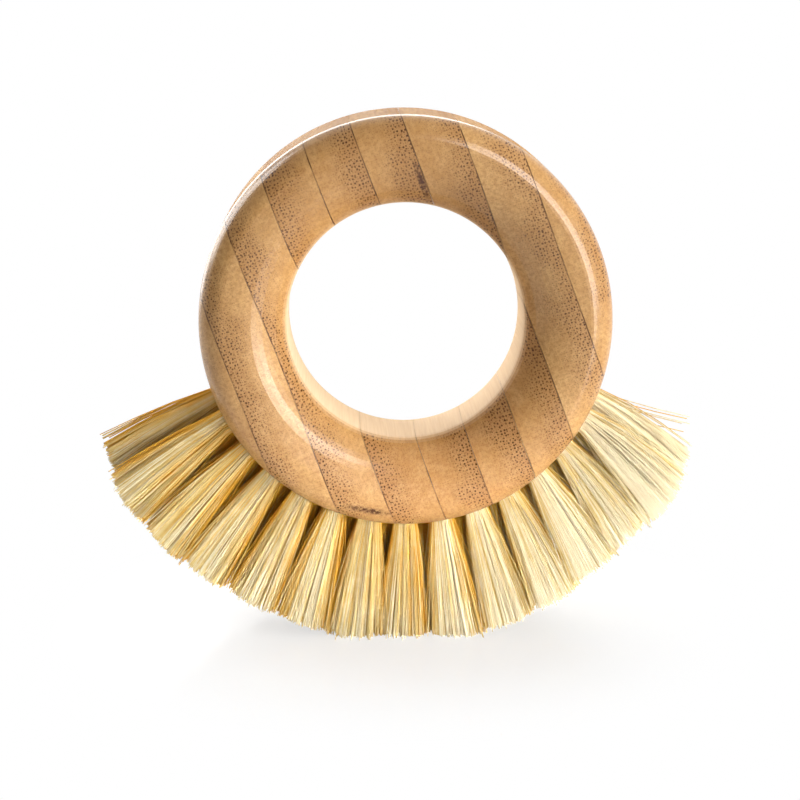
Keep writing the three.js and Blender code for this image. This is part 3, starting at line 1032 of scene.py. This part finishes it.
def soft_box(name, first, last, width, target, power, lights=True, mirrored=True, spread=180):
    """Area lamp that stretches between two points and faces a target, to light it or be mirrored in it."""
    lamp = bpy.data.lights.new(name, "AREA")
    lamp.shape = "RECTANGLE"
    lamp.size = width
    lamp.size_y = (last - first).length
    lamp.energy = power
    lamp.spread = math.radians(spread)
    middle = (first + last) / 2
    away = (middle - target).normalized()
    side = (last - first).cross(away).normalized()
    turn = Matrix((side, away.cross(side), away)).transposed()
    holder = bpy.data.objects.new(name, lamp)
    holder.matrix_world = Matrix.Translation(middle) @ turn.to_4x4()
    holder.visible_camera = False
    holder.visible_diffuse = lights
    holder.visible_glossy = mirrored
    bpy.context.scene.collection.objects.link(holder)


# Half the floor's width, in metres
FLOOR_HALF = 3.0

# Lamps that face the ring: the ends of each, from the ring's centre, its width, and what it doesn't do
LAMPS = {
    "key": ((0.285, -0.318, -0.045), (0.125, -0.364, 0.234), 0.15, {"lights": False}),
    "side": ((0.87, -0.5, -0.05), (0.81, -0.5, 0.4), 0.9, {"mirrored": False}),
    "rim": ((-0.38, 0.526, 0.047), (0.185, 0.526, 0.334), 0.22, {"mirrored": False}),
    "edge": ((-0.55, 0.45, 0.0), (0.185, 0.526, 0.334), 0.2, {"lights": False}),
    "shoulder": ((-0.62, 0.3, 0.12), (-0.42, 0.15, 0.5), 0.3, {}),
    "fill": ((0.15, -0.6, -0.055), (0.15, -0.6, 0.15), 0.4, {"mirrored": False}),
}

# Low lamp for the bristles: the point that it faces, its ends from there, its width and its spread
FOOT_TARGET = (0.01, 0, 0.013)
FOOT_ENDS = ((-0.12, -0.5, 0), (0.28, -0.43, 0))
FOOT_WIDTH = 0.02
FOOT_SPREAD = 10


class BRUSH_OT_stage(bpy.types.Operator):
    """Sets the floor, the light and the camera"""

    bl_idname = "brush.stage"
    bl_label = "Stage"

    def execute(self, context):
        scene = context.scene
        stage = scene.brush_stage
        centre = Vector((0, 0, scene.brush_ring.height))
        self.lay_floor(stage)
        self.light(stage, centre)
        self.aim_camera(stage, centre)
        scene.view_settings.view_transform = "Standard"
        return {"FINISHED"}

    def lay_floor(self, stage):
        """Lays the floor under the brush."""
        mesh = bpy.data.meshes.new("floor")
        signs = ((-1, -1), (1, -1), (1, 1), (-1, 1))
        corners = [(x * FLOOR_HALF, y * FLOOR_HALF, 0) for x, y in signs]
        mesh.from_pydata(corners, [], [(0, 1, 2, 3)])
        mesh.materials.append(floor_material(stage))
        floor = bpy.data.objects.new("floor", mesh)
        bpy.context.scene.collection.objects.link(floor)

    def light(self, stage, centre):
        """Lights the brush from all round and with the lamps."""
        world = bpy.data.worlds.new("studio")
        world.use_nodes = True
        world.node_tree.nodes.clear()
        start = Wire(world.node_tree)
        rays = start.node("ShaderNodeLightPath")
        right, back, up = start.node("ShaderNodeTexCoord", output="Generated").parts()
        fill = stage.ambient * (1 + 0.7 * right + 0.3 * back + 0.9 * up)
        mirrored = rays.other("Is Glossy Ray") * (back - 0.2 * right).ramp(0.0, 0.5)
        seen = rays.maths("MAXIMUM", rays, mirrored)
        seen = seen.maths("MAXIMUM", seen, rays.other("Is Transmission Ray"))
        level = fill + seen * (1 - fill)
        sky = start.node("ShaderNodeBackground", None, {"Color": (1, 1, 1, 1), "Strength": level})
        start.node("ShaderNodeOutputWorld", None, {"Surface": sky})
        bpy.context.scene.world = world
        for name, (first, last, width, limits) in LAMPS.items():
            power = getattr(stage, name)
            soft_box(name, centre + Vector(first), centre + Vector(last), width, centre, power, **limits)
        target = Vector(FOOT_TARGET)
        first, last = (target + Vector(end) for end in FOOT_ENDS)
        soft_box(
            "foot", first, last, FOOT_WIDTH, target, stage.foot, mirrored=False, spread=FOOT_SPREAD
        )

    def aim_camera(self, stage, centre):
        """Sets the camera in front of the brush, a little above it."""
        flat = math.cos(stage.elevation) * stage.distance
        side = -math.sin(stage.azimuth) * flat
        front = -math.cos(stage.azimuth) * flat
        up = math.sin(stage.elevation) * stage.distance
        camera = bpy.data.objects.new("camera", bpy.data.cameras.new("camera"))
        camera.data.lens = stage.lens
        camera.location = centre + Vector((side, front, up))
        target = centre + Vector((-stage.aim_left, 0, -stage.aim_down))
        camera.rotation_euler = (target - camera.location).to_track_quat("-Z", "Y").to_euler()
        bpy.context.scene.collection.objects.link(camera)
        bpy.context.scene.camera = camera


class BRUSH_PT_sidebar(bpy.types.Panel):
    """Lists the brush's sizes, colours and pieces"""

    bl_idname = "BRUSH_PT_sidebar"
    bl_label = "Ring brush"
    bl_space_type = "VIEW_3D"
    bl_region_type = "UI"
    bl_category = "Brush"

    def draw(self, context):
        for name, operators in PANEL_ROWS.items():
            box = self.layout.box()
            settings = getattr(context.scene, name)
            for prop in settings.__annotations__:
                box.prop(settings, prop)
            for operator in operators:
                box.operator(operator.bl_idname)


PANEL_ROWS = {
    "brush_ring": (BRUSH_OT_bamboo_strips,),
    "brush_bristles": (BRUSH_OT_bristles, BRUSH_OT_anchors),
    "brush_finish": (),
    "brush_stage": (BRUSH_OT_stage,),
}
SETTINGS = {
    "brush_ring": BrushRing,
    "brush_bristles": BrushBristles,
    "brush_finish": BrushFinish,
    "brush_stage": BrushStage,
}
CLASSES = (
    *SETTINGS.values(),
    BRUSH_OT_bamboo_strips,
    BRUSH_OT_bristles,
    BRUSH_OT_anchors,
    BRUSH_OT_stage,
    BRUSH_PT_sidebar,
)


def register():
    """Adds the classes, and the settings to the scene."""
    for item in CLASSES:
        bpy.utils.register_class(item)
    for name, group in SETTINGS.items():
        setattr(bpy.types.Scene, name, bpy.props.PointerProperty(type=group))


def unregister():
    """Takes the settings and the classes out again."""
    for name in SETTINGS:
        delattr(bpy.types.Scene, name)
    for item in reversed(CLASSES):
        bpy.utils.unregister_class(item)


def main():
    """Makes the stage and the brush."""
    register()
    bpy.ops.brush.stage()
    bpy.ops.brush.bamboo_strips()
    bpy.ops.brush.bristles()
    bpy.ops.brush.anchors()


if __name__ == "__main__":
    main()
